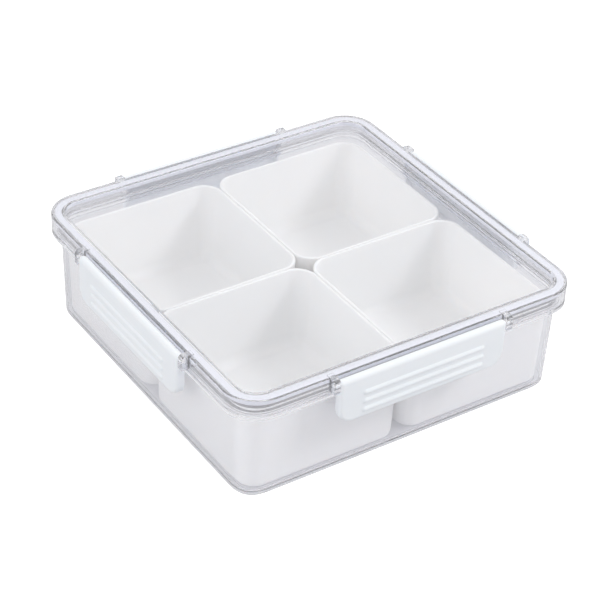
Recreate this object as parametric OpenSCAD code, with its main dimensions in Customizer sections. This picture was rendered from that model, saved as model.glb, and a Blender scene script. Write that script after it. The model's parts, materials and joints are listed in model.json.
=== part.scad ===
// Square lidded snack box: a clear tray and a clear lid with a soft seal, four lift-out
// food boxes and four snap latches hinged on the lid.
// Origin: centre of the tray's underside. +Z is up and the front is towards -Y.

/* [Overall] */
// Outer side of the square lid and of the tray's flange
side = 250; // [215:1:300]
// Height of the tray's flange above the table
tray_height = 66.9; // [55:0.1:88]
// Outline radius of the lid's and the flange's corners
corner_radius = 22.5; // [21:0.5:28]

/* [Tray] */
// How far the flange stands out from the wall below it
flange_reach = 6.1; // [5.4:0.1:7.4]
// Thickness of the flange
flange_thickness = 3.8; // [2.6:0.1:5]
// Thickness of the tray's wall
tray_wall = 2.2; // [1.6:0.1:2.8]
// How far the wall leans in from the flange down to the table
tray_taper = 1.8; // [1:0.1:2.6]
// Thickness of the tray's floor
tray_floor = 1.8; // [1.6:0.1:3]
// Height of the foot ring under the floor
foot_height = 0.8; // [0.6:0.1:2]
// Width of the flat ring that the tray stands on
foot_width = 3.5; // [2:0.1:4.5]
// Outside radius where the wall meets the foot
tray_edge_radius = 2; // [1:0.1:6]
// Inside radius where the wall meets the floor
tray_inner_radius = 2; // [1:0.1:5]
// Distance from the flange's edge to the sealing lip
lip_inset = 3.6; // [3:0.1:4.2]
// Thickness of the sealing lip
lip_thickness = 2; // [1.2:0.1:2.4]
// Height of the sealing lip above the flange
lip_height = 6.9; // [5:0.1:7.6]

/* [Lid] */
// Gap between the lid's skirt and the flange
lid_gap = 0.5; // [0.3:0.1:1]
// Height of the lid's skirt and rim
lid_height = 11; // [10:0.1:14]
// Thickness of the skirt
skirt_thickness = 2.2; // [1.5:0.1:2.4]
// Width of the raised rim, seen from above
rim_width = 9; // [8.6:0.1:11]
// Thickness of the rim's roof
rim_roof = 2; // [1.4:0.1:2.4]
// Thickness of the rim's inner wall
rim_inner_wall = 2.2; // [1.5:0.1:2.4]
// Depth of the panel below the top of the rim
panel_recess = 7.2; // [4:0.1:8]
// Thickness of the panel
panel_thickness = 2.2; // [1.6:0.1:3]
// Radius of the rim's outer upper edge
rim_outer_radius = 1.4; // [0.5:0.1:3]
// Radius of the rim's inner edges
rim_inner_radius = 1.2; // [0.5:0.1:1.8]

/* [Seal] */
// Space between the seal and each wall of the channel it sits in
seal_side_gap = 0.15; // [0.1:0.05:0.4]

/* [Latches] */
// Width of each latch
latch_width = 122; // [80:1:150]
// How far each latch reaches below its hinge line
latch_drop = 29.2; // [24:0.1:40]
// Depth of the hinge line below the top of the lid
hinge_depth = 4.4; // [3:0.1:6]
// Radius of the barrel along the top of the latch
barrel_radius = 2.8; // [2.4:0.1:3.4]
// Gap between the latch and the side of the lid
latch_gap = 0.4; // [0.3:0.1:1]
// Thickness of the latch's face
latch_face = 2.2; // [1.6:0.1:2.6]
// Thickness of the latch's edge wall
latch_edge = 2; // [1.4:0.1:3]
// Radius of the latch's two lower corners
latch_corner = 10; // [5:0.5:13]
// Radius of the latch's two upper corners
latch_top_corner = 2; // [0.6:0.1:2.4]
// Number of grip ribs
rib_count = 3; // [2:1:3]
// Distance between grip ribs
rib_pitch = 6.4; // [5:0.1:6.8]
// Height of the lowest grip rib above the lower edge
rib_rise = 5.9; // [4:0.1:7]
// Length of each grip rib
rib_length = 90; // [50:1:94]
// Radius of each grip rib
rib_radius = 2.2; // [1.6:0.1:2.4]
// How far each grip rib stands out
rib_stand = 1.1; // [0.5:0.1:1.2]
// Thickness of the snap ridge inside the latch
snap_thickness = 2.6; // [2:0.1:4]
// Gap between the snap ridge and the flange above it
snap_gap = 0.4; // [0.2:0.1:1]

/* [Hinges] */
// Radius of the pin at each end of a latch
pin_radius = 1.3; // [0.9:0.05:1.5]
// Space between a pin and its hole, all round
pin_clearance = 0.05; // [0.02:0.01:0.1]
// Length of each pin inside its lug
pin_length = 2.8; // [1.6:0.1:3.4]
// Thickness of each lug
lug_thickness = 4.4; // [4:0.1:7]
// Gap between a lug and the end of its latch
lug_gap = 0.4; // [0.2:0.1:1]
// How far a lug reaches outwards from its pin's centre
lug_reach = 2.3; // [2:0.1:2.7]
// Radius of a lug's outer upper edge
lug_round = 3; // [1:0.1:3.4]
// How far a lug reaches below the hinge line
lug_drop = 4.6; // [3:0.1:6.4]

/* [Boxes] */
// Space between a box and the tray's wall, at the top
box_clearance = 2.3; // [1.6:0.1:4]
// Gap between two neighbouring boxes, at the top
box_gap = 0.4; // [0.4:0.1:2]
// How far the box rims lie below the top of the flange
box_drop = 5.1; // [1:0.1:10]
// Thickness of a box's wall
box_wall = 2; // [1.4:0.1:2.4]
// Thickness of a box's floor
box_floor = 2.2; // [1.6:0.1:3]
// How far a box's wall leans in from rim to floor
box_taper = 2.2; // [1.2:0.1:2.6]
// Outline radius of a box's corners
box_corner = 14; // [12:0.5:18]
// Outside radius of a box's lower edge
box_edge_radius = 3; // [1:0.1:6]
// Inside radius of a box's lower edge
box_inner_radius = 7; // [4:0.1:9.5]
// Radius of the edges of a box's rim
box_rim_radius = 0.8; // [0.3:0.1:0.9]

/* [Hidden] */
$fn = 96;
half_side = side / 2;
// length that a cutting shape runs past the piece it cuts
past = 1;
// radii of the small edges
flange_edge_radius = 0.8;
under_flange_radius = 1.2;
lip_edge_radius = 0.6;
skirt_edge_radius = 0.5;
seal_edge_radius = 0.5;
// heights of the tray
flange_bottom = tray_height - flange_thickness;
floor_top = foot_height + tray_floor;
lip_top = tray_height + lip_height;
// heights of the lid
skirt_bottom = tray_height + lid_gap;
lid_top = skirt_bottom + lid_height;
roof_bottom = lid_top - rim_roof;
panel_top = lid_top - panel_recess;
panel_bottom = panel_top - panel_thickness;
channel_width = rim_width - rim_inner_wall - skirt_thickness;
// hinge line of a latch, and the latch's own sizes
hinge_height = lid_top - hinge_depth;
hinge_reach = half_side + latch_gap + barrel_radius;
latch_half = latch_width / 2;
face_inner = barrel_radius - latch_face;
snap_top = flange_bottom - snap_gap - hinge_height;
lug_start = latch_half + lug_gap;
// how far a lug bites into the skirt, how far its cap reaches over the rim, and how far
// the cap stands above the rim
lug_bite = 1.2;
lug_cap = 3;
lug_stand = 0.4;
// end room of a pin in its hole
pin_end_room = 0.4;
// sizes of a box
box_side = half_side - flange_reach - tray_wall - box_clearance - box_gap / 2;
box_centre = (box_side + box_gap) / 2;
box_top = tray_height - box_drop;
box_edge = min(box_edge_radius, box_corner - box_taper - past / 2);
box_inner = min(box_inner_radius, box_corner - box_taper - box_wall - past / 2);

function unit(v) = v / norm(v);
function half_angle(p, a, b) = acos(unit(a - p) * unit(b - p)) / 2;

// Area between the corner p, whose sides run towards a and b, and an arc that touches both
// sides: taken from an outward corner it rounds it, added to an inward one it fills it.
module corner(p, a, b, r) {
  reach = r / tan(half_angle(p, a, b));
  outward = unit(unit(a - p) + unit(b - p));
  centre = p + outward * (r / sin(half_angle(p, a, b)));
  difference() {
    polygon([p + unit(a - p) * reach, p - outward * r / 2, p + unit(b - p) * reach, centre]);
    translate(centre) circle(r);
  }
}

// Carries a profile round a square with round corners. The profile's x is the distance
// inwards from the square's side, and its y is the height.
module around(half, r) {
  for (k = [0:3]) rotate([0, 0, 90 * k]) {
    translate([half - r, half - r, 0])
      rotate_extrude(angle = 90) translate([r, 0]) mirror([1, 0]) children();
    translate([half, half - r, 0])
      rotate([90, 0, 0]) linear_extrude(2 * (half - r)) mirror([1, 0]) children();
  }
}

// Square slab inside the corners of a square, between two heights.
module middle(half, r, low, high) {
  translate([r - half, r - half, low]) cube([2 * (half - r), 2 * (half - r), high - low]);
}

module tray_profile() {
  wall_foot = flange_reach + tray_taper;
  ring_end = wall_foot + tray_edge_radius + foot_width;
  lean = tray_taper / flange_bottom;
  floor_corner = [wall_foot + tray_wall - lean * floor_top, floor_top];
  mouth = [wall_foot + tray_wall - lean * tray_height, tray_height];
  under_flange = [flange_reach, flange_bottom];
  foot = [wall_foot, 0];
  flange_low = [0, flange_bottom];
  flange_high = [0, tray_height];
  lip_outer = [lip_inset, lip_top];
  lip_inner = [lip_inset + lip_thickness, lip_top];
  difference() {
    union() {
      polygon([
        foot, [ring_end, 0], [ring_end, foot_height],
        [corner_radius, foot_height], [corner_radius, floor_top], floor_corner, mouth,
        [lip_inner[0], tray_height], lip_inner, lip_outer, [lip_outer[0], tray_height],
        flange_high, flange_low, under_flange
      ]);
      corner(floor_corner, mouth, [corner_radius, floor_top], tray_inner_radius);
      corner(under_flange, flange_low, foot, under_flange_radius);
    }
    corner(foot, under_flange, [ring_end, 0], tray_edge_radius);
    corner(mouth, floor_corner, [lip_inner[0], tray_height], flange_edge_radius);
    corner(flange_high, flange_low, [lip_inset, tray_height], flange_edge_radius);
    corner(flange_low, flange_high, under_flange, flange_edge_radius);
    corner(lip_outer, [lip_outer[0], tray_height], lip_inner, lip_edge_radius);
    corner(lip_inner, lip_outer, [lip_inner[0], tray_height], lip_edge_radius);
  }
}

module tray() {
  color([0.87, 0.89, 0.94, 0.3]) {
    around(half_side, corner_radius) tray_profile();
    middle(half_side, corner_radius, foot_height, floor_top);
  }
}

module lid_profile() {
  inner_wall = rim_width - rim_inner_wall;
  skirt_low = [0, skirt_bottom];
  outer_top = [0, lid_top];
  inner_top = [rim_width, lid_top];
  panel_corner = [rim_width, panel_top];
  wall_low = [inner_wall, panel_bottom];
  difference() {
    union() {
      polygon([
        skirt_low, [skirt_thickness, skirt_bottom], [skirt_thickness, roof_bottom],
        [inner_wall, roof_bottom], wall_low, [corner_radius, panel_bottom],
        [corner_radius, panel_top], panel_corner, inner_top, outer_top
      ]);
      corner(panel_corner, inner_top, [corner_radius, panel_top], rim_inner_radius);
    }
    corner(outer_top, skirt_low, inner_top, rim_outer_radius);
    corner(inner_top, outer_top, panel_corner, rim_inner_radius);
    corner(wall_low, [inner_wall, roof_bottom], [corner_radius, panel_bottom], skirt_edge_radius);
    corner(skirt_low, outer_top, [skirt_thickness, skirt_bottom], skirt_edge_radius);
  }
}

// Outline of a lug, seen along the hinge line: x is outwards from the lid, y is up.
module lug_outline() {
  skirt = -barrel_radius - latch_gap;
  top = hinge_depth + lug_stand;
  cap = lug_stand + rim_roof / 2;
  difference() {
    translate([skirt - lug_bite, -lug_drop])
      square([lug_reach - skirt + lug_bite, lug_drop + top]);
    corner([lug_reach, top], [lug_reach, 0], [skirt, top], lug_round);
  }
  translate([skirt - lug_cap, top - cap]) square([lug_cap, cap]);
}

// Turns an outline drawn outwards and up into a bar along +X, on the front side's hinge line.
module along_hinge(start, length) {
  translate([start, -hinge_reach, hinge_height])
    rotate([90, 0, 90]) linear_extrude(length) mirror([1, 0]) children();
}

module lugs() {
  for (k = [0:3]) rotate([0, 0, 90 * k]) {
    along_hinge(lug_start, lug_thickness) lug_outline();
    along_hinge(-lug_start - lug_thickness, lug_thickness) lug_outline();
  }
}

module pin_holes() {
  depth = pin_length + pin_end_room + past;
  for (k = [0:3]) rotate([0, 0, 90 * k]) {
    along_hinge(lug_start - past, depth) circle(pin_radius + pin_clearance);
    along_hinge(-lug_start + past - depth, depth) circle(pin_radius + pin_clearance);
  }
}

module lid() {
  color([0.87, 0.89, 0.94, 0.3]) difference() {
    union() {
      around(half_side, corner_radius) lid_profile();
      middle(half_side, corner_radius, panel_bottom, panel_top);
      lugs();
    }
    pin_holes();
  }
}

module seal_profile() {
  low_outer = [skirt_thickness + seal_side_gap, lip_top];
  low_inner = [skirt_thickness + channel_width - seal_side_gap, lip_top];
  high_inner = [low_inner[0], roof_bottom];
  high_outer = [low_outer[0], roof_bottom];
  difference() {
    polygon([low_outer, low_inner, high_inner, high_outer]);
    corner(low_outer, high_outer, low_inner, seal_edge_radius);
    corner(low_inner, low_outer, high_inner, seal_edge_radius);
  }
}

module seal_ring() {
  color([0.93, 0.94, 0.96, 0.6]) around(half_side, corner_radius) seal_profile();
}

// Front outline of a latch, drawn in the upright plane of its face.
module latch_outline(inset) {
  low = -latch_drop + inset;
  right = latch_half - inset;
  low_corner = latch_corner - inset;
  difference() {
    translate([-right, low]) square([2 * right, latch_drop + barrel_radius - inset]);
    for (s = [-1, 1]) corner([s * right, low], [s * right, 0], [0, low], low_corner);
    for (s = [-1, 1])
      corner([s * right, barrel_radius], [s * right, 0], [0, barrel_radius], latch_top_corner);
  }
}

// The same outline as a block, between two distances outwards from the hinge line.
module latch_block(inset, from, to) {
  translate([0, -hinge_reach - from, hinge_height])
    rotate([90, 0, 0]) linear_extrude(to - from) latch_outline(inset);
}

// Side view of the latch without its hollow: x is outwards, y is up.
module latch_side() {
  foot = [barrel_radius, -latch_drop];
  circle(barrel_radius);
  difference() {
    translate([-barrel_radius, -latch_drop]) square([2 * barrel_radius, latch_drop]);
    corner(foot, [barrel_radius, 0], [-barrel_radius, -latch_drop], latch_face / 2);
  }
}

// Round bar with round ends along X, centred on the front side's hinge line.
module rib() {
  rotate([0, 90, 0]) rotate_extrude() intersection() {
    union() {
      translate([-rib_radius, rib_radius - rib_length / 2])
        square([2 * rib_radius, rib_length - 2 * rib_radius]);
      translate([0, rib_length / 2 - rib_radius]) circle(rib_radius);
      translate([0, rib_radius - rib_length / 2]) circle(rib_radius);
    }
    translate([0, -rib_length]) square([2 * rib_radius, 2 * rib_length]);
  }
}

module latch_hollow() {
  inner = latch_half - latch_edge;
  difference() {
    intersection() {
      latch_block(latch_edge, -barrel_radius - past, face_inner);
      along_hinge(-inner - past, 2 * (inner + past))
        translate([-2 * barrel_radius, -latch_drop]) square([3 * barrel_radius, latch_drop]);
    }
    along_hinge(-latch_half, latch_width) circle(barrel_radius);
  }
}

module latch() {
  color([0.93, 0.94, 0.96]) {
    difference() {
      intersection() {
        along_hinge(-latch_half, latch_width) latch_side();
        latch_block(0, -barrel_radius - past, barrel_radius + past);
      }
      latch_hollow();
    }
    for (k = [0:rib_count - 1])
      translate([0, rib_radius - rib_stand - barrel_radius - hinge_reach,
        hinge_height - latch_drop + rib_rise + rib_pitch * k]) rib();
    along_hinge(-latch_half + latch_edge / 2, latch_width - latch_edge) polygon([
      [face_inner + latch_face / 2, snap_top], [-barrel_radius, snap_top],
      [-barrel_radius, snap_top - snap_thickness / 2],
      [face_inner + latch_face / 2, snap_top - snap_thickness * 2]
    ]);
    along_hinge(-lug_start - pin_length, 2 * (lug_start + pin_length)) circle(pin_radius);
  }
}

module latch_front() {
  latch();
}

module latch_right() {
  rotate([0, 0, 90]) latch();
}

module latch_back() {
  rotate([0, 0, 180]) latch();
}

module latch_left() {
  rotate([0, 0, 270]) latch();
}

module box_profile() {
  lean = box_taper / (box_top - floor_top);
  rim_outer = [0, box_top];
  rim_inner = [box_wall, box_top];
  foot = [box_taper, floor_top];
  inner_low = box_wall + box_taper - lean * box_floor;
  floor_corner = [inner_low, floor_top + box_floor];
  difference() {
    union() {
      polygon([
        foot, [box_corner, floor_top], [box_corner, floor_top + box_floor], floor_corner,
        rim_inner, rim_outer
      ]);
      corner(floor_corner, rim_inner, [box_corner, floor_top + box_floor], box_inner);
    }
    corner(foot, rim_outer, [box_corner, floor_top], box_edge);
    corner(rim_outer, foot, rim_inner, box_rim_radius);
    corner(rim_inner, rim_outer, floor_corner, box_rim_radius);
  }
}

module food_box(x, y) {
  color([0.95, 0.95, 0.95]) translate([x * box_centre, y * box_centre, 0]) {
    around(box_side / 2, box_corner) box_profile();
    middle(box_side / 2, box_corner, floor_top, floor_top + box_floor);
  }
}

module box_front_left() {
  food_box(-1, -1);
}

module box_front_right() {
  food_box(1, -1);
}

module box_back_right() {
  food_box(1, 1);
}

module box_back_left() {
  food_box(-1, 1);
}

tray();
lid();
seal_ring();
latch_front();
latch_right();
latch_back();
latch_left();
box_front_left();
box_front_right();
box_back_right();
box_back_left();
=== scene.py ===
"""Looks for a square lidded snack box: clear moulded tray and lid, a soft seal, four white
snap latches and four white lift-out food boxes, on a pale floor in soft studio light."""
import json
import math

import bpy
import numpy as np
from mathutils import Matrix, Vector


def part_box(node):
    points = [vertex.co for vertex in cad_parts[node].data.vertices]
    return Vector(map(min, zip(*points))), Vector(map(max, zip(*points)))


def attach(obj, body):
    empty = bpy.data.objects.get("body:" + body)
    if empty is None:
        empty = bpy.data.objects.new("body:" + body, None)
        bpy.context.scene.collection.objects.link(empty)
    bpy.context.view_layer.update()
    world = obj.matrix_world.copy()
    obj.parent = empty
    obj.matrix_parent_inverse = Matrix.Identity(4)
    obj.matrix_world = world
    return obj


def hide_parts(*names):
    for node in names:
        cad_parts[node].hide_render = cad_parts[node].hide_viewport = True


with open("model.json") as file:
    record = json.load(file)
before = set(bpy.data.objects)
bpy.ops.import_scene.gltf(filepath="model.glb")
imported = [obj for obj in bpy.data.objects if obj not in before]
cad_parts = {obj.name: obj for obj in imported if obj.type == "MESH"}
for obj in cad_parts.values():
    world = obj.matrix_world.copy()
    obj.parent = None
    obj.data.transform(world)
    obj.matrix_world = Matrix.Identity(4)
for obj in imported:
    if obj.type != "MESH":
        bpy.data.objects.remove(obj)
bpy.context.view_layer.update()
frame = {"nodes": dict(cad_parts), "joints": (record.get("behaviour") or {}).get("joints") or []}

MM = 0.001
NODES = frame["nodes"]
SIDES = ("front", "right", "back", "left")   # each is the one before, turned a quarter
BOXES = ("front_left", "front_right", "back_right", "back_left")


# ---------------------------------------------------------------- camera

CAMERA_AZIMUTH = -35.12
CAMERA_ELEVATION = 35.33
CAMERA_ROLL = 2.96
CAMERA_DISTANCE = 1.3326
CAMERA_TARGET = Vector((0.0, 0.0, 0.0322))
CAMERA_LENS = 120.6
SENSOR_WIDTH = 36.0
CAMERA_SHIFT = (0.0059, -0.0061)


def make_camera():
    """Looks at the target from azimuth and elevation, turned about its own axis by the roll."""
    a, e, r = (math.radians(v) for v in (CAMERA_AZIMUTH, CAMERA_ELEVATION, CAMERA_ROLL))
    back = Vector((math.sin(a) * math.cos(e), -math.cos(a) * math.cos(e), math.sin(e)))
    level = Vector((math.cos(a), math.sin(a), 0.0))
    upright = back.cross(level)
    right = level * math.cos(r) + upright * math.sin(r)
    up = upright * math.cos(r) - level * math.sin(r)
    data = bpy.data.cameras.new("camera")
    data.sensor_width = SENSOR_WIDTH
    data.lens = CAMERA_LENS
    data.shift_x, data.shift_y = CAMERA_SHIFT
    data.clip_start, data.clip_end = 0.01, 20.0
    camera = bpy.data.objects.new("camera", data)
    turn = Matrix((right, up, back)).transposed().to_4x4()
    camera.matrix_world = Matrix.Translation(CAMERA_TARGET + back * CAMERA_DISTANCE) @ turn
    bpy.context.scene.collection.objects.link(camera)
    bpy.context.scene.camera = camera


# ---------------------------------------------------------------- materials

def linear(code):
    """An sRGB hex colour as linear red, green, blue and an alpha of one."""
    parts = [int(code[i:i + 2], 16) / 255 for i in (1, 3, 5)]
    return [c / 12.92 if c <= 0.04045 else ((c + 0.055) / 1.055) ** 2.4 for c in parts] + [1.0]


def add_node(tree, kind, inputs=None, **settings):
    """Adds one shader node; inputs maps a socket to a value or to another node's output."""
    node = tree.nodes.new(kind)
    for name, value in settings.items():
        setattr(node, name, value)
    for key, value in (inputs or {}).items():
        if isinstance(value, bpy.types.NodeSocket):
            tree.links.new(value, node.inputs[key])
        else:
            node.inputs[key].default_value = value
    return node


def new_material(name):
    material = bpy.data.materials.new(name)
    material.use_nodes = True
    material.node_tree.nodes.clear()
    return material, material.node_tree


def per_metre(size_mm):
    """Noise scale whose features are about size_mm across."""
    return 1.0 / (size_mm * MM)


def remap(tree, value, low, high):
    """Takes a 0 to 1 value to the range from low to high."""
    spread = {"Value": value, "To Min": low, "To Max": high}
    return add_node(tree, "ShaderNodeMapRange", spread).outputs[0]


FLOW_MM = 30               # width of the slow waves that the melt leaves in clear plastic
FLOW_DEPTH = 0.1 * MM
SCRATCH_MM = 6             # length of the fine rubbed marks
SCRATCH_STRETCH = (1.0, 9.0, 1.0)
SCRATCH_TURN = (0.0, 0.0, 0.6)
CLEAR_IOR = 1.56
WHITE_IOR = 1.5
SCATTER_WARMTH = (1.0, 0.85, 0.75)   # red light travels furthest inside white plastic
GLOSS_SPREAD = 0.08        # how far the grain moves the roughness either way
CLOUD_MM = 4               # size of the seal's milky clouds
SILICONE_IOR = 1.41


def noise(tree, place, size_mm, **more):
    """Noise with features of the size; more gives its other inputs, such as Detail."""
    settings = {"Vector": place, "Scale": per_metre(size_mm)}
    settings.update(more)
    return add_node(tree, "ShaderNodeTexNoise", settings).outputs["Fac"]


def object_place(tree):
    return add_node(tree, "ShaderNodeTexCoord").outputs["Object"]


def clear_plastic(name, tint, passing, haze, roughness):
    """Polished clear styrene copolymer (SAN), injection moulded. It bends what is behind it,
    holds thin dark lines in its edges, and has slow flow waves and fine handling scratches.
    The haze is the small part of the light that the plastic scatters."""
    material, tree = new_material(name)
    place = object_place(tree)
    flow = noise(tree, place, FLOW_MM, Detail=2.0)
    waves = add_node(tree, "ShaderNodeBump", {
        "Height": flow, "Strength": 0.05, "Distance": FLOW_DEPTH})
    squeezed = add_node(tree, "ShaderNodeMapping", {
        "Vector": place, "Scale": SCRATCH_STRETCH, "Rotation": SCRATCH_TURN})
    rubbed = noise(tree, squeezed.outputs[0], SCRATCH_MM, Detail=6.0, Roughness=0.7)
    body = add_node(tree, "ShaderNodeBsdfPrincipled", {
        "Base Color": linear(tint), "IOR": CLEAR_IOR, "Transmission Weight": 1.0 - haze,
        "Roughness": remap(tree, rubbed, roughness * 0.3, roughness * 1.7),
        "Normal": waves.outputs["Normal"]})
    through = add_node(tree, "ShaderNodeBsdfTransparent", {"Color": linear(passing)})
    path = add_node(tree, "ShaderNodeLightPath")
    lamp = add_node(tree, "ShaderNodeMath", {
        0: path.outputs["Is Shadow Ray"], 1: path.outputs["Is Diffuse Ray"]}, operation="MAXIMUM")
    mix = add_node(tree, "ShaderNodeMixShader", {
        0: lamp.outputs[0], 1: body.outputs[0], 2: through.outputs[0]})
    add_node(tree, "ShaderNodeOutputMaterial", {"Surface": mix.outputs[0]})
    return material


def white_plastic(name, light, dark, roughness, grain_mm, grain_depth, sheen_mm,
                  scatter, scatter_mm):
    """White moulded plastic with a fine spark-eroded grain: the colour drifts a little between
    two whites, the grain breaks up the gloss, and light that soaks in and comes out again some
    millimetres away softens the shaded sides and the narrow gaps."""
    material, tree = new_material(name)
    place = object_place(tree)
    drift = noise(tree, place, sheen_mm, Detail=3.0)
    grain = noise(tree, place, grain_mm, Detail=4.0)
    colour = add_node(tree, "ShaderNodeMix", {
        0: drift, 6: linear(dark), 7: linear(light)}, data_type="RGBA")
    bump = add_node(tree, "ShaderNodeBump", {
        "Height": grain, "Strength": 0.25, "Distance": grain_depth * MM})
    body = add_node(tree, "ShaderNodeBsdfPrincipled", {
        "Base Color": colour.outputs[2], "IOR": WHITE_IOR, "Subsurface Weight": scatter,
        "Subsurface Radius": SCATTER_WARMTH, "Subsurface Scale": scatter_mm * MM,
        "Roughness": remap(tree, grain, roughness - GLOSS_SPREAD, roughness + GLOSS_SPREAD),
        "Normal": bump.outputs["Normal"]})
    add_node(tree, "ShaderNodeOutputMaterial", {"Surface": body.outputs[0]})
    return material


def milky_silicone(name, tint, cover):
    """Soft translucent silicone: a dull milky veil that lets some of what is behind it
    through unbent."""
    material, tree = new_material(name)
    cloud = noise(tree, object_place(tree), CLOUD_MM, Detail=3.0)
    bump = add_node(tree, "ShaderNodeBump", {
        "Height": cloud, "Strength": 0.1, "Distance": 0.1 * MM})
    body = add_node(tree, "ShaderNodeBsdfPrincipled", {
        "Base Color": linear(tint), "IOR": SILICONE_IOR, "Alpha": cover,
        "Roughness": remap(tree, cloud, 0.4, 0.55), "Normal": bump.outputs["Normal"]})
    add_node(tree, "ShaderNodeOutputMaterial", {"Surface": body.outputs[0]})
    return material


TRAY_CLEAR = clear_plastic(
    "moulded_clear_san_tray", "#FBFBFD", "#FDFDFE", haze=0.05, roughness=0.02)
LID_CLEAR = clear_plastic(
    "moulded_clear_san_lid", "#FBFBFD", "#FDFDFE", haze=0.05, roughness=0.015)
SEAL_MILKY = milky_silicone("moulded_milky_silicone_seal", "#E8EAF2", 0.9)
LATCH_WHITE = white_plastic(
    "moulded_white_abs_latch", "#EAEDF0", "#E4E8EC", roughness=0.35,
    grain_mm=0.35, grain_depth=0.03, sheen_mm=25, scatter=0.2, scatter_mm=3)
BOX_WHITE = white_plastic(
    "moulded_white_polypropylene_box", "#F5F5F4", "#F1F1F0", roughness=0.45,
    grain_mm=0.5, grain_depth=0.04, sheen_mm=40, scatter=0.3, scatter_mm=6)


# ---------------------------------------------------------------- pieces

POINT_DIGITS = 12          # metres are kept to this many places, so every run gives one mesh


def make_piece(name, points, faces, material, body, node, normals=None, sharp=35.0):
    """Makes a mesh piece from points and faces and lets it stand for a CAD node on a body. It
    is shaded by its own normals, or smooth but for edges sharper than the angle."""
    mesh = bpy.data.meshes.new(name)
    settled = np.round(points, POINT_DIGITS) + 0.0
    mesh.from_pydata(settled.tolist(), [], faces)
    mesh.polygons.foreach_set("use_smooth", np.ones(len(mesh.polygons), bool))
    if normals is None:
        mesh.set_sharp_from_angle(angle=math.radians(sharp))
    else:
        mesh.normals_split_custom_set_from_vertices(normals.tolist())
    mesh.materials.append(material)
    mesh.update()
    piece = bpy.data.objects.new(name, mesh)
    bpy.context.scene.collection.objects.link(piece)
    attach(piece, body)
    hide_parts(node)
    return piece


def loft_faces(rings, count, closed_rings=False):
    """Quads between one ring of count points and the next, each ring closed on itself."""
    bands = rings if closed_rings else rings - 1
    i, j = np.meshgrid(np.arange(bands), np.arange(count), indexing="ij")
    a, b = i * count, (i + 1) % rings * count
    k = (j + 1) % count
    return np.stack([a + j, a + k, b + k, b + j], -1).reshape(-1, 4).tolist()


def left_of(way):
    return np.stack([-way[..., 1], way[..., 0]], -1)


def rounded_path(corners, closed=False, steps=6):
    """A path of straight runs with its corners rounded: corners holds (x, y, radius). Each
    arc starts radius * tan(turn / 2) before its corner and turns evenly from the way in to
    the way out. Gives the points and their normals, which are on the left of the path."""
    corners = np.asarray(corners)
    place, radius = corners[:, :2], corners[:, 2]
    ahead = np.roll(place, -1, 0) - place
    ahead /= np.linalg.norm(ahead, axis=1)[:, None]
    behind = np.roll(ahead, 1, 0)
    cross = behind[:, 0] * ahead[:, 1] - behind[:, 1] * ahead[:, 0]
    turn = np.arctan2(cross, (behind * ahead).sum(1))
    if not closed:
        turn[[0, -1]] = 0.0
        behind[0], ahead[-1] = ahead[0], behind[-1]
    angle = turn[:, None] * np.linspace(0, 1, steps + 1)
    way = np.stack([behind[:, :1] * np.cos(angle) - behind[:, 1:] * np.sin(angle),
                    behind[:, :1] * np.sin(angle) + behind[:, 1:] * np.cos(angle)], -1)
    start = place - behind * (radius * np.tan(np.abs(turn) / 2))[:, None]
    swing = left_of(behind)[:, None] - left_of(way)
    points = start[:, None] + swing * (radius * np.sign(turn))[:, None, None]
    keep = np.ones(angle.shape, bool)
    keep[(turn == 0) | (radius == 0), 1:] = False
    return points[keep], left_of(way)[keep]


FINE_STEPS = 800           # short steps that the eased corner is summed from
CORNER_STEPS = 40          # points kept of each corner, a whole divisor of the fine steps


def square_outline(half, radius):
    """A square of half side half, anticlockwise, with its corners eased: in a corner the
    heading turns by 90 degrees times 3u^2 - 2u^3, so the curve bends in and out smoothly. The
    corner is as long as it takes to cut off as much as an arc of the radius would.
    Gives the points and the ways inwards."""
    u = np.linspace(0, 1, FINE_STEPS + 1)
    heading = math.pi / 2 * (3 * u ** 2 - 2 * u ** 3)
    step = np.stack([np.cos(heading), np.sin(heading)], -1)
    run = np.concatenate([[[0, 0]], np.cumsum((step[1:] + step[:-1]) / 2, 0)]) / FINE_STEPS
    span = run[-1, 0]
    middle = run[FINE_STEPS // 2]
    cut = (span - middle[0] + middle[1]) / math.sqrt(2)
    length = radius * (math.sqrt(2) - 1) / cut
    pick = np.linspace(0, FINE_STEPS, CORNER_STEPS + 1).astype(int)
    start = np.array([half - span * length, -half])
    corner = start + run[pick] * length
    inward = np.stack([-np.sin(heading[pick]), np.cos(heading[pick])], -1)
    points, ways = [], []
    for k in range(4):
        c, r = [(1, 0), (0, 1), (-1, 0), (0, -1)][k]
        spin = np.array([[c, r], [-r, c]])
        points.append(corner @ spin)
        ways.append(inward @ spin)
    return np.concatenate(points), np.concatenate(ways)


def carry_round(half, radius, profile, normals, closed):
    """Carries a profile (distance inwards, height) round the eased square. The profile runs
    clockwise, so its normals point out of the material. An open one ends in flat caps. Gives
    points, their normals and faces."""
    outline, inward = square_outline(half, radius)
    count = len(outline)
    def lift(flat, height):
        """Adds each ring's height to its flat points."""
        level = np.broadcast_to(height[:, None, None], flat.shape[:2] + (1,))
        return np.concatenate([flat, level], -1).reshape(-1, 3)

    points = lift(outline[None] + profile[:, :1, None] * inward[None], profile[:, 1])
    facing = lift(normals[:, :1, None] * inward[None], normals[:, 1])
    faces = loft_faces(len(profile), count, closed_rings=closed)
    if not closed:
        last = (len(profile) - 1) * count
        faces += [list(range(count))[::-1], list(range(last, last + count))]
    return points, facing, faces


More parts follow.
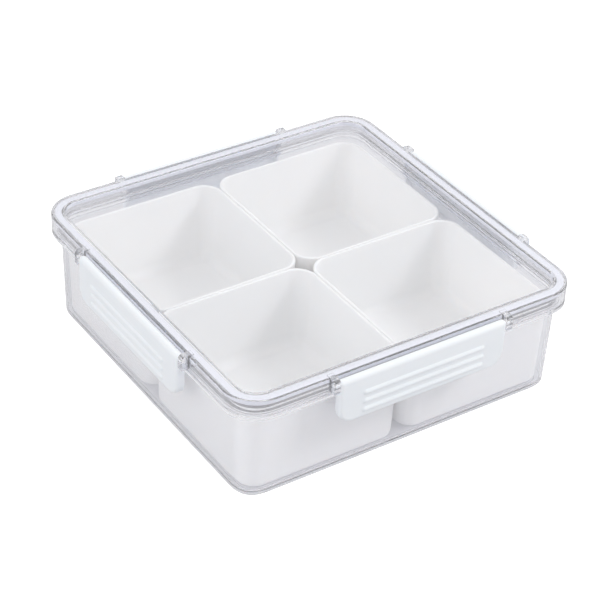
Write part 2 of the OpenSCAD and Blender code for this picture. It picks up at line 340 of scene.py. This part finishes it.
# Latch sizes, measured from its hinge line: out is away from the lid, up is up.
BARREL = 2.8 * MM          # radius of the barrel along the hinge line
RIB_STAND = 1.1 * MM       # how far a rib stands out of the face
RIB_RADIUS = 2.2 * MM
RIB_PITCH = 6.4 * MM
RIB_RISE = 5.9 * MM        # lowest rib above the lower edge
RIB_HALF = 45.0 * MM       # half the length of a rib
RIB_COUNT = 3
RIB_FILLET = 0.12 * MM
RIB_SKIRT = 1.15           # the fillet ends this many rib radii from the rib's middle
RIB_MARGIN = 3.2 * MM      # flat face kept round the ribs in their grid, up and down
RIB_MARGIN_ALONG = 3.0 * MM
PIN_RADIUS = 1.3 * MM
PIN_REACH = 3.2 * MM       # end of a pin past the end of the latch
EDGE_ROUND = 2.2 * MM      # rounding of the face's edges
WALL = 2.0 * MM            # thickness of the edge wall
FACE_BACK = 0.6 * MM       # the hollow's flat, out from the hinge line
LOW_CORNER = 10.0 * MM
TOP_CORNER = 2.0 * MM
SMALLEST_CORNER = 0.3 * MM
FACE_MARGIN = 0.3 * MM     # flat ring between the rounding and the grid of the face
RIM_BEVEL = 0.4 * MM       # on both edges of the wall's rim
RIM_OUTER = 0.12 * MM      # middle of the outer bevel, in from its corner
RIM_INNER = 0.1 * MM       # middle of the inner one
HOLLOW_ROUND = 0.8 * MM    # rounding at the bottom of the hollow
HOLLOW_MIDDLE = (0.25 * MM, 0.2 * MM)   # its middle point, in from the wall and from the flat
CORNER_ARC = 9             # points inside each of the latch's round corners
SNAP_RISE = 17.9 * MM      # top of the snap ridge above the latch's lower edge
SNAP_LEAD = 0.3 * MM       # small bevel on the ridge's upper edge
SNAP_NOSE = 1.2 * MM       # height of the ridge at its nose
SNAP_ROOT = 4.6 * MM       # height of the ridge where it meets the hollow
SUNK = 0.3 * MM            # how far the ridge reaches into the face, so that they are one


def ring_points(half, low, high, low_radius, high_radius, cols, rows):
    """Points round an upright rectangle with round corners, anticlockwise from its lower
    left. cols and rows (0 to 1) place the points along the straight sides."""
    def side(start, end, share):
        return np.array(start)[None] + (np.array(end) - np.array(start))[None] * share[:, None]

    def bend(centre, radius, start):
        turn = np.radians(start + np.linspace(0, 90, CORNER_ARC + 2)[1:-1])
        return np.array(centre)[None] + radius * np.stack([np.cos(turn), np.sin(turn)], -1)

    lx, lz, hz = half - low_radius, low + low_radius, high - high_radius
    hx = half - high_radius
    return np.concatenate([
        side((-lx, low), (lx, low), cols), bend((lx, lz), low_radius, -90),
        side((half, lz), (half, hz), rows), bend((hx, hz), high_radius, 0),
        side((hx, high), (-hx, high), cols), bend((-hx, hz), high_radius, 90),
        side((-half, hz), (-half, lz), rows), bend((-lx, lz), low_radius, 180)])


def rib_field(x, z, bottom):
    """Height of the face over its flat: each rib is a round bar with round ends, sunk until
    only RIB_STAND of it shows, and a small fillet softens its foot."""
    ends = np.maximum(np.abs(x) - (RIB_HALF - RIB_RADIUS), 0)
    height = np.zeros_like(x)
    for k in range(RIB_COUNT):
        away = np.hypot(ends, z - (bottom + RIB_RISE + RIB_PITCH * k))
        bar = np.sqrt(np.maximum(RIB_RADIUS ** 2 - away ** 2, 0)) - (RIB_RADIUS - RIB_STAND)
        eased = 0.5 * (bar + np.hypot(bar, RIB_FILLET))
        height = np.maximum(height, eased * (away < RIB_RADIUS * RIB_SKIRT))
    return height * (RIB_STAND / max(height.max(), 1e-9))


def latch_mesh(half, bottom):
    """One snap latch about its hinge line, as (along, out, up). Flat rings, each at one
    distance out, run from the face's edge over its rounding, down the sides, round the rim
    and into the hollow; the top of a ring follows the barrel, up = root(barrel^2 - out^2).
    The face is a grid raised by the ribs, joined to the first ring."""
    cols = np.concatenate([
        np.linspace(0, 0.06, 9), np.linspace(0.1, 0.9, 9), np.linspace(0.94, 1, 9)])
    rows = np.linspace(0, 1, 61)
    turn = np.radians(np.linspace(0, 90, 9))
    rounding = np.stack([1 - np.sin(turn), 1 - np.cos(turn)], -1) * EDGE_ROUND
    table = [(EDGE_ROUND + FACE_MARGIN, BARREL, 1)]
    table += [(inset, BARREL - back, 1) for inset, back in rounding]
    outer_side = np.linspace(BARREL - EDGE_ROUND, -BARREL + RIM_BEVEL, 9)[1:]
    table += [(0.0, out, 1) for out in outer_side]
    table += [(RIM_OUTER, -BARREL + RIM_OUTER, 1), (RIM_BEVEL, -BARREL, 1)]
    table += [(WALL - RIM_BEVEL, -BARREL, 1), (WALL - RIM_INNER, -BARREL + RIM_INNER, -1)]
    inner_side = np.linspace(-BARREL + RIM_BEVEL, FACE_BACK - HOLLOW_ROUND, 7)
    table += [(WALL, out, -1) for out in inner_side]
    table += [(WALL + HOLLOW_MIDDLE[0], FACE_BACK - HOLLOW_MIDDLE[1], -1)]
    table += [(WALL + HOLLOW_ROUND, FACE_BACK, -1)]
    rings = []
    for inset, out, side in table:
        top = side * math.sqrt(max(BARREL ** 2 - out ** 2, 0))
        top -= max(inset - EDGE_ROUND, 0) if side > 0 else 0
        flat = ring_points(half - inset, bottom + inset, top, LOW_CORNER - inset,
                           max(TOP_CORNER - inset, SMALLEST_CORNER), cols, rows)
        rings.append(np.stack([flat[:, 0], np.full(len(flat), out), flat[:, 1]], -1))
    count = len(rings[0])
    points = np.concatenate(rings)
    faces = loft_faces(len(rings), count)
    faces.append(list(range((len(rings) - 1) * count, len(rings) * count)))

    x = (cols * 2 - 1) * (RIB_HALF + RIB_MARGIN_ALONG)
    lowest = bottom + RIB_RISE
    low, high = lowest - RIB_MARGIN, lowest + RIB_PITCH * (RIB_COUNT - 1) + RIB_MARGIN
    z = low + rows * (high - low)
    gx, gz = np.meshgrid(x, z)
    grid = np.stack([gx, BARREL + rib_field(gx, gz, bottom), gz], -1).reshape(-1, 3)
    first = len(points)
    nx, nz = len(x), len(z)
    points = np.concatenate([points, grid])
    i, j = np.meshgrid(np.arange(nz - 1), np.arange(nx - 1), indexing="ij")
    cell = first + i * nx + j
    faces += np.stack([cell, cell + nx, cell + nx + 1, cell + 1], -1).reshape(-1, 4).tolist()
    corner = [first, first + nx - 1, first + nz * nx - 1, first + (nz - 1) * nx]
    edge = np.concatenate([
        corner[0] + np.arange(nx), np.full(CORNER_ARC, corner[1]),
        corner[1] + np.arange(nz) * nx, np.full(CORNER_ARC, corner[2]),
        corner[2] - np.arange(nx), np.full(CORNER_ARC, corner[3]),
        corner[3] - np.arange(nz) * nx, np.full(CORNER_ARC, corner[0])])
    for k in range(count):
        n = (k + 1) % count
        quad = [k, int(edge[k]), int(edge[n]), n]
        faces.append(quad if edge[k] != edge[n] else quad[:2] + quad[3:])
    return points, [face[::-1] for face in faces]


def bar_mesh(outline, start, end):
    """A straight bar along the hinge line: an (out, up) outline, closed at both ends."""
    outline = np.asarray(outline)
    n = len(outline)
    ends = [np.column_stack([np.full(n, s), outline]) for s in (start, end)]
    faces = [[k, (k + 1) % n, n + (k + 1) % n, n + k] for k in range(n)]
    return np.concatenate(ends), faces + [list(range(n))[::-1], list(range(n, 2 * n))]


def join(*meshes):
    """Several (points, faces) as one."""
    points, faces, at = [], [], 0
    for p, f in meshes:
        points.append(p)
        faces += [[at + i for i in face] for face in f]
        at += len(p)
    return np.concatenate(points), faces


def make_latches():
    """Builds the front latch, with its pins and its snap ridge, and turns copies of its points
    by quarters for the other three sides."""
    low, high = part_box("latch_front")
    hinge = next(j for j in frame["joints"] if j["name"] == "latch_front_hinge")["pos_m"]
    half = high.x - PIN_REACH
    bottom = low.z - hinge[2]
    snap_top = bottom + SNAP_RISE
    root = FACE_BACK + SUNK
    round_pin = np.linspace(0, 2 * math.pi, 25)[:-1]
    pin = PIN_RADIUS * np.stack([np.cos(round_pin), np.sin(round_pin)], -1)
    ridge = np.array([
        (root, snap_top), (-BARREL + SNAP_LEAD, snap_top), (-BARREL, snap_top - SNAP_LEAD),
        (-BARREL, snap_top - SNAP_NOSE), (root, snap_top - SNAP_ROOT)])
    shape = join(latch_mesh(half, bottom),
                 bar_mesh(pin, half, half + PIN_REACH), bar_mesh(pin, -half - PIN_REACH, -half),
                 bar_mesh(ridge, -half + WALL, half - WALL))
    for k, side in enumerate(SIDES):
        along, out, up = shape[0].T
        a = k * math.pi / 2
        c, s = round(math.cos(a)), round(math.sin(a))
        x, y = along, hinge[1] - out
        points = np.stack([c * x - s * y, s * x + c * y, hinge[2] + up], -1)
        make_piece("snap_latch_" + side, points, shape[1], LATCH_WHITE,
                   "latch_" + side, "latch_" + side)


# Tray sizes, as distances inwards from the flange's edge and heights.
CORNER = 22.5 * MM         # corner radius of the flange and the lid
FLANGE_REACH = 6.1 * MM
FLANGE_THICK = 3.8 * MM
TRAY_WALL = 2.2 * MM
TRAY_TAPER = 1.8 * MM      # how far the wall leans in, from flange to foot
TRAY_FLOOR = 1.8 * MM
FOOT_HEIGHT = 0.8 * MM
FOOT_WIDTH = 3.5 * MM
TRAY_ROUND = 2.0 * MM      # the foot's outer and the floor's inner rounding
LIP_INSET = 3.6 * MM
LIP_THICK = 2.0 * MM
LIP_HEIGHT = 6.9 * MM
LIP_ROUND = 0.6 * MM
FLANGE_ROUND = 0.5 * MM
UNDER_ROUND = 1.0 * MM     # where the wall meets the flange, outside
SMALL_ROUND = 0.3 * MM     # the foot ring's edges and the root of the lip
SEAL_ROUND = 0.5 * MM
CAP_REACH = 3.0 * MM       # how far the profile goes on under the floor before its flat cap
FLOOR_REACH = 6.0 * MM     # the same on top of the floor
CHANNEL = (2.35 * MM, 6.65 * MM)   # the seal's two sides
CLEAR = 0.05 * MM          # keeps two clear surfaces from lying in one place


def make_tray():
    """The tray is one closed skin: from under its floor, over the foot, up the leaning wall,
    round the flange and the sealing lip, and down inside to the floor."""
    low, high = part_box("tray")
    top = high.z - LIP_HEIGHT
    under = top - FLANGE_THICK
    foot = FLANGE_REACH + TRAY_TAPER
    floor = FOOT_HEIGHT + TRAY_FLOOR
    lean = TRAY_TAPER / under
    ring = foot + TRAY_ROUND + FOOT_WIDTH
    lip = LIP_INSET + LIP_THICK
    lip_top = high.z - CLEAR
    inside = foot + TRAY_WALL
    profile, normals = rounded_path([
        (ring + CAP_REACH, FOOT_HEIGHT, 0), (ring, FOOT_HEIGHT, SMALL_ROUND),
        (ring, 0, SMALL_ROUND), (foot, 0, TRAY_ROUND), (FLANGE_REACH, under, UNDER_ROUND),
        (0, under, FLANGE_ROUND), (0, top, FLANGE_ROUND), (LIP_INSET, top, SMALL_ROUND),
        (LIP_INSET, lip_top, LIP_ROUND), (lip, lip_top, LIP_ROUND), (lip, top, SMALL_ROUND),
        (inside - lean * top, top, FLANGE_ROUND), (inside - lean * floor, floor, TRAY_ROUND),
        (inside + FLOOR_REACH, floor, 0)], steps=8)
    points, facing, faces = carry_round(high.x, CORNER, profile, normals, closed=False)
    make_piece("clear_tray_shell", points, faces, TRAY_CLEAR, "tray", "tray", facing)


def make_seal():
    """A band with round edges between the lid's roof and the tray's lip."""
    low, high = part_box("seal_ring")
    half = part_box("tray")[1].x
    near, far = CHANNEL
    bottom, top = low.z + CLEAR, high.z - CLEAR
    corners = [(near, bottom), (near, top), (far, top), (far, bottom)]
    profile, normals = rounded_path([(x, z, SEAL_ROUND) for x, z in corners], closed=True)
    points, facing, faces = carry_round(half, CORNER, profile, normals, closed=True)
    make_piece("seal_band", points, faces, SEAL_MILKY, "lid", "seal_ring", facing)


def dress_nodes():
    """Gives the CAD nodes that show their finished materials."""
    finish = {"lid": LID_CLEAR}
    finish.update({"box_" + name: BOX_WHITE for name in BOXES})
    for name, material in finish.items():
        for holder in NODES[name].material_slots:
            holder.material = material


# ---------------------------------------------------------------- floor and light

LAMP_AIM = (0, 0, 0.03)
CLEAR_BOUNCES = 9          # light caught in the rim for longer than this goes dark
FLOOR_HALF = 8.0           # half the side of the floor, in metres
FLOOR_GLOW = 0.35          # what the floor adds where it is seen straight
FLOOR_FILL = 0.28          # what it adds in everything else
WORLD_STRENGTH = 0.91
CARD_WAY = Vector((-0.470, -0.668, 0.578))   # from the object to the grey card by the camera
CARD_EDGE = (0.88, 0.97)                     # cosine where the card's soft edge starts and ends
CARD_COLOUR = "#BEBAC4"


def make_floor():
    """A pale plain floor. Seen straight, it is bright enough to take almost no shadow. Seen in
    or lighting the object, it is greyer, so that the object's foot keeps its shade."""
    half = FLOOR_HALF
    corners = [(-half, -half, 0), (half, -half, 0), (half, half, 0), (-half, half, 0)]
    mesh = bpy.data.meshes.new("floor")
    mesh.from_pydata(corners, [], [(0, 1, 2, 3)])
    floor = bpy.data.objects.new("floor", mesh)
    material, tree = new_material("pale_studio_floor")
    seen = add_node(tree, "ShaderNodeBsdfDiffuse", {"Color": linear("#F4F4F4")})
    lit = add_node(tree, "ShaderNodeBsdfDiffuse", {"Color": linear("#B6B6B8")})
    fill = add_node(tree, "ShaderNodeEmission", {
        "Color": linear("#E6E7EA"), "Strength": FLOOR_FILL})
    below = add_node(tree, "ShaderNodeAddShader", {0: lit.outputs[0], 1: fill.outputs[0]})
    glow = add_node(tree, "ShaderNodeEmission", {
        "Color": linear("#FFFFFF"), "Strength": FLOOR_GLOW})
    both = add_node(tree, "ShaderNodeAddShader", {0: seen.outputs[0], 1: glow.outputs[0]})
    path = add_node(tree, "ShaderNodeLightPath")
    mix = add_node(tree, "ShaderNodeMixShader", {
        0: path.outputs["Is Camera Ray"], 1: below.outputs[0], 2: both.outputs[0]})
    add_node(tree, "ShaderNodeOutputMaterial", {"Surface": mix.outputs[0]})
    mesh.materials.append(material)
    bpy.context.scene.collection.objects.link(floor)


def area_light(name, place, aim, size, power):
    """A softbox that lights the object but makes no glint in the clear parts."""
    data = bpy.data.lights.new(name, "AREA")
    data.shape = "RECTANGLE"
    data.size, data.size_y = size
    data.energy = power
    lamp = bpy.data.objects.new(name, data)
    lamp.rotation_mode = "QUATERNION"
    lamp.rotation_quaternion = (Vector(aim) - Vector(place)).to_track_quat("-Z", "Y")
    lamp.location = place
    lamp.visible_glossy = lamp.visible_transmission = False
    bpy.context.scene.collection.objects.link(lamp)


def make_world():
    """An even white surround with one soft pale grey card beside the camera."""
    world = bpy.data.worlds.new("studio")
    world.use_nodes = True
    tree = world.node_tree
    tree.nodes.clear()
    way = add_node(tree, "ShaderNodeTexCoord").outputs["Generated"]
    facing = add_node(tree, "ShaderNodeVectorMath", {0: way, 1: CARD_WAY}, operation="DOT_PRODUCT")
    card = add_node(tree, "ShaderNodeMapRange", {
        "Value": facing.outputs["Value"], "From Min": CARD_EDGE[0], "From Max": CARD_EDGE[1],
        "To Min": 0.0, "To Max": 1.0}, interpolation_type="SMOOTHSTEP")
    colour = add_node(tree, "ShaderNodeMix", {
        0: card.outputs[0], 6: linear("#FAFAF9"), 7: linear(CARD_COLOUR)}, data_type="RGBA")
    back = add_node(tree, "ShaderNodeBackground", {
        "Color": colour.outputs[2], "Strength": WORLD_STRENGTH})
    add_node(tree, "ShaderNodeOutputWorld", {"Surface": back.outputs[0]})
    bpy.context.scene.world = world


make_camera()
make_latches()
make_tray()
make_seal()
dress_nodes()
make_floor()
make_world()
area_light("key_softbox", place=(1.1, -0.9, 1.3), aim=LAMP_AIM, size=(0.5, 0.5), power=12.5)
area_light("left_softbox", place=(-1.5, -0.2, 1.0), aim=LAMP_AIM, size=(1.2, 1.2), power=8)

scene = bpy.context.scene
scene.view_settings.view_transform = "Standard"
scene.view_settings.look = "None"
scene.cycles.max_bounces = CLEAR_BOUNCES
scene.cycles.transmission_bounces = CLEAR_BOUNCES
scene.cycles.glossy_bounces = 12
scene.cycles.diffuse_bounces = 6
scene.cycles.transparent_max_bounces = 32
